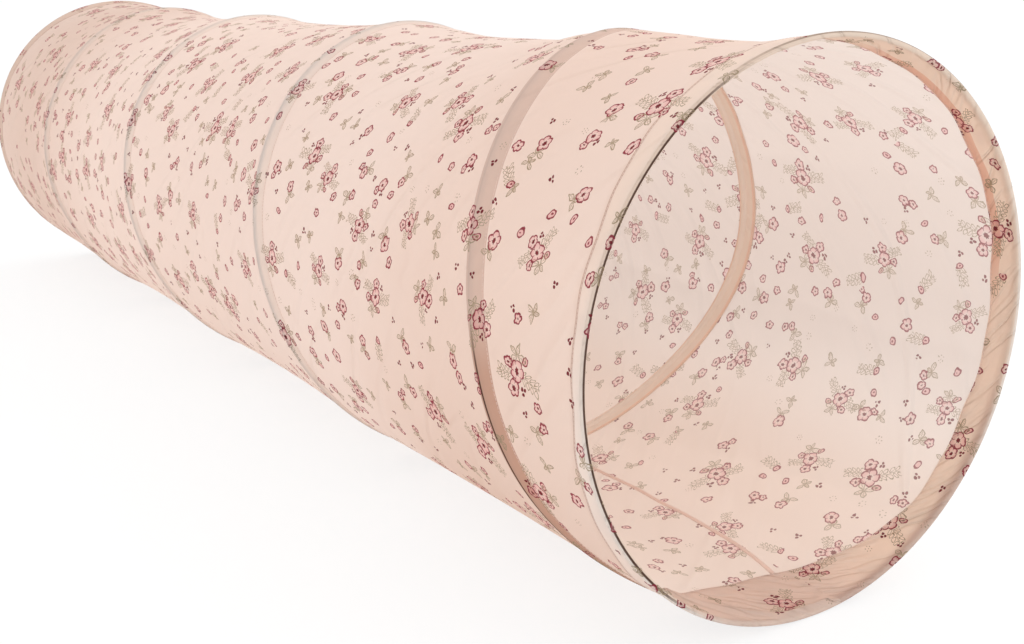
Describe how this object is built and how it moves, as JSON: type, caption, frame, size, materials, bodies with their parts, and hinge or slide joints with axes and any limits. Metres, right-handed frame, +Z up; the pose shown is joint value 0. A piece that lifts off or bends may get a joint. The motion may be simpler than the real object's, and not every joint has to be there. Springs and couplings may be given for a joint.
{
  "type": "kids play tunnel",
  "caption": "Pop-up crawl tunnel: a round printed cloth tube on a sprung wire helix, with hemmed open mouths.",
  "frame": {"origin": "on the floor under the middle of the tunnel", "axes": "+X along the tunnel's axis to the near mouth of the picture, +Z up, -Y towards the side that the picture shows"},
  "size_m": [1.8, 0.4708, 0.46],
  "materials": {
    "printed_cloth": "thin see-through woven cloth, pale pink with a small flower print",
    "hem_cloth": "the same cloth doubled at the hem",
    "casing_tape": "plain matt peach tape",
    "seam_tape": "folded cloth seam",
    "spring_wire": "bare oiled spring steel",
    "sleeve_metal": "zinc plated crimp"
  },
  "bodies": {
    "tunnel_front": {"shell_bay_1": "printed_cloth", "seam_1": "seam_tape", "front_hem": "hem_cloth", "front_ring_wire": "spring_wire", "front_crimp_sleeve": "sleeve_metal", "helix_wire": "spring_wire", "helix_casing": "casing_tape"},
    "turn_1": {"shell_bay_2": "printed_cloth", "seam_2": "seam_tape"},
    "turn_2": {"shell_bay_3": "printed_cloth", "seam_3": "seam_tape"},
    "turn_3": {"shell_bay_4": "printed_cloth", "seam_4": "seam_tape"},
    "tunnel_rear": {"rear_hem": "hem_cloth", "rear_ring_wire": "spring_wire", "rear_crimp_sleeve": "sleeve_metal"}
  },
  "joints": [
    {"name": "collapse", "type": "slide", "parent": "tunnel_front", "child": "tunnel_rear", "axis": [1, 0, 0], "range_m": [0, 1.74], "stiffness_N_per_m": 8, "springref_m": -0.1, "deforming": ["helix_wire", "helix_casing", "shell_bay_1", "seam_1", "front_hem", "rear_hem"]},
    {"name": "turn_1_slide", "type": "slide", "parent": "tunnel_front", "child": "turn_1", "axis": [1, 0, 0], "range_m": [0, 0.435], "deforming": ["shell_bay_2", "seam_2"]},
    {"name": "turn_2_slide", "type": "slide", "parent": "tunnel_front", "child": "turn_2", "axis": [1, 0, 0], "range_m": [0, 0.87], "deforming": ["shell_bay_3", "seam_3"]},
    {"name": "turn_3_slide", "type": "slide", "parent": "tunnel_front", "child": "turn_3", "axis": [1, 0, 0], "range_m": [0, 1.305], "deforming": ["shell_bay_4", "seam_4"]}
  ],
  "couplings": [
    {"joint": "turn_1_slide", "follows": "collapse", "ratio": 0.25},
    {"joint": "turn_2_slide", "follows": "collapse", "ratio": 0.5},
    {"joint": "turn_3_slide", "follows": "collapse", "ratio": 0.75}
  ]
}
